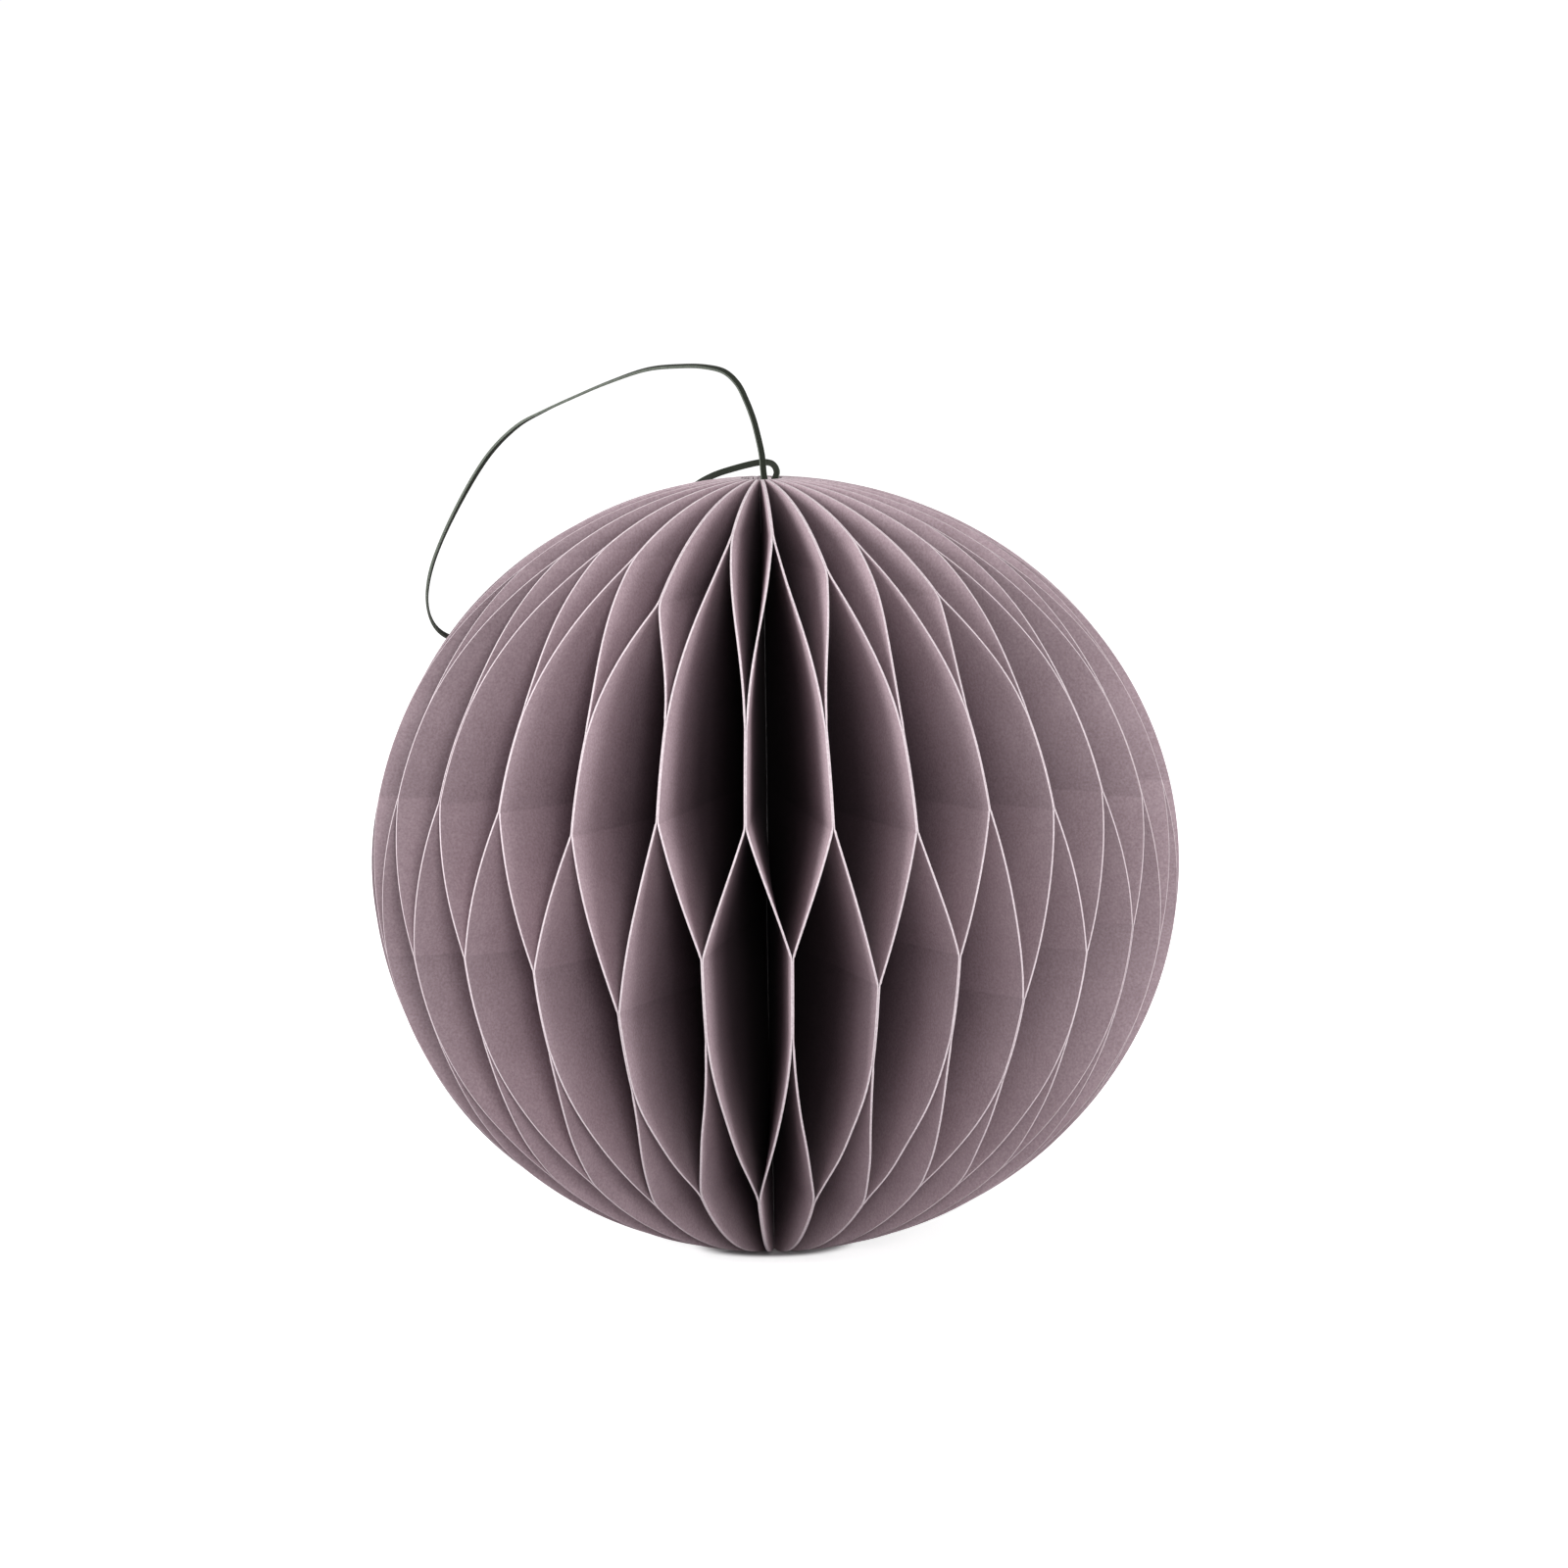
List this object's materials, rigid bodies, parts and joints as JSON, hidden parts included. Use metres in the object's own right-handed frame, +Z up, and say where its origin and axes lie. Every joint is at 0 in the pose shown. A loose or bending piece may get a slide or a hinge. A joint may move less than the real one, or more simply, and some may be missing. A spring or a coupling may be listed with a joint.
{
  "type": "honeycomb paper ball",
  "caption": "Honeycomb paper ball: half-round card leaves glued in level bands and fanned into an openwork sphere, with a hanging loop of lace at the top.",
  "frame": {"origin": "under the middle of the ball, at the height of the table it stands on", "axes": "+Z up along the spine towards the hanging loop; -Y towards the front, where one joint of the upper glue band lies just left of the middle"},
  "size_m": [0.0999, 0.0999, 0.1099],
  "materials": {
    "card": "matte",
    "glue": "satin",
    "lace": "matte"
  },
  "bodies": {
    "root": {"leaf_01": "card", "leaf_02": "card", "leaf_03": "card", "leaf_04": "card", "leaf_05": "card", "leaf_06": "card", "leaf_07": "card", "leaf_08": "card", "leaf_09": "card", "leaf_10": "card", "leaf_11": "card", "leaf_12": "card", "leaf_13": "card", "leaf_14": "card", "leaf_15": "card", "leaf_16": "card", "leaf_17": "card", "leaf_18": "card", "leaf_19": "card", "leaf_20": "card", "leaf_21": "card", "leaf_22": "card", "leaf_23": "card", "leaf_24": "card", "leaf_25": "card", "leaf_26": "card", "leaf_27": "card", "leaf_28": "card", "leaf_29": "card", "leaf_30": "card", "leaf_31": "card", "leaf_32": "card", "leaf_33": "card", "leaf_34": "card", "leaf_35": "card", "leaf_36": "card", "leaf_37": "card", "leaf_38": "card", "leaf_39": "card", "leaf_40": "card", "leaf_41": "card", "leaf_42": "card", "leaf_43": "card", "leaf_44": "card", "leaf_45": "card", "leaf_46": "card", "leaf_47": "card", "leaf_48": "card", "leaf_49": "card", "leaf_50": "card", "leaf_51": "card", "leaf_52": "card", "leaf_53": "card", "leaf_54": "card", "leaf_55": "card", "leaf_56": "card", "glue_spine": "glue", "loop_knot": "lace", "hanging_loop": "lace"}
  },
  "joints": []
}
